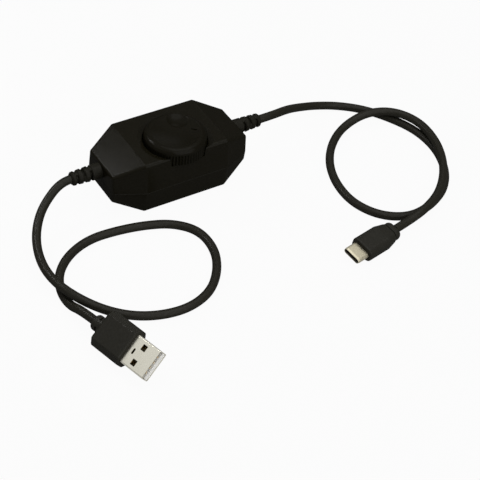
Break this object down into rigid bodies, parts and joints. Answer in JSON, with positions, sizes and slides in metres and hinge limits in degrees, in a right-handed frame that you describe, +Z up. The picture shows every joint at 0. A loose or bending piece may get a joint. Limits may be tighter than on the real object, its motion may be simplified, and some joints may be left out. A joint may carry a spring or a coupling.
{
  "type": "inline cord dimmer",
  "caption": "Inline rotary cord dimmer: a faceted black split case with a ribbed thumb dial and slotted strain reliefs, on loose cords to a USB-A plug and a USB-C plug.",
  "frame": {"origin": "middle of the case's flat underside, on the surface it lies on", "axes": "+X along the case towards the output cord, +Y towards the back, away from the wall that the dial breaks through, +Z up along the dial's axis"},
  "size_m": [0.1902, 0.1153, 0.028],
  "materials": {
    "case_plastic": "black ABS with a fine spark texture",
    "screw_steel": "zinc plated steel",
    "dial_plastic": "black ABS, satin",
    "board_laminate": "green solder mask on glass laminate",
    "pot_phenolic": "brown phenolic",
    "tinned_metal": "tin plated steel",
    "shaft_plastic": "white nylon",
    "contact_brass": "spring brass",
    "chip_epoxy": "black epoxy",
    "can_aluminium": "drawn aluminium",
    "resistor_glaze": "glazed ceramic",
    "wire_red": "red PVC insulation",
    "wire_black": "black PVC insulation",
    "relief_rubber": "black moulded PVC, matte",
    "cord_jacket": "black PVC jacket, satin",
    "plug_plastic": "black moulded PVC, fine matte",
    "shell_nickel": "bright nickel plated steel",
    "insulator_white": "white moulded plastic",
    "contact_gold": "gold plated",
    "insulator_black": "black moulded plastic"
  },
  "bodies": {
    "case_body": {"upper_case": "case_plastic", "lower_case": "case_plastic", "case_screws": "screw_steel", "circuit_board": "board_laminate", "pot_base": "pot_phenolic", "pot_terminals": "tinned_metal", "pot_cover": "tinned_metal", "pwm_chip": "chip_epoxy", "mosfet": "chip_epoxy", "capacitor": "can_aluminium", "diode": "chip_epoxy", "resistors": "resistor_glaze", "input_wire_positive": "wire_red", "input_wire_negative": "wire_black", "output_wire_positive": "wire_red", "output_wire_negative": "wire_black", "input_strain_relief": "relief_rubber", "output_strain_relief": "relief_rubber", "input_cord": "cord_jacket", "output_cord": "cord_jacket", "usb_a_overmold": "plug_plastic", "usb_a_shell": "shell_nickel", "usb_a_insulator": "insulator_white", "usb_a_contacts": "contact_gold", "usb_c_overmold": "plug_plastic", "usb_c_shell": "shell_nickel", "usb_c_insulator": "insulator_black", "usb_c_contacts": "contact_gold"},
    "dial_body": {"dial": "dial_plastic", "pot_shaft": "shaft_plastic", "pot_wiper": "contact_brass"}
  },
  "joints": [
    {"name": "dial_turn", "type": "hinge", "parent": "case_body", "child": "dial_body", "pos_m": [0, -0.00445, 0.0207], "axis": [0, 0, 1], "range_deg": [-300, 0]}
  ]
}
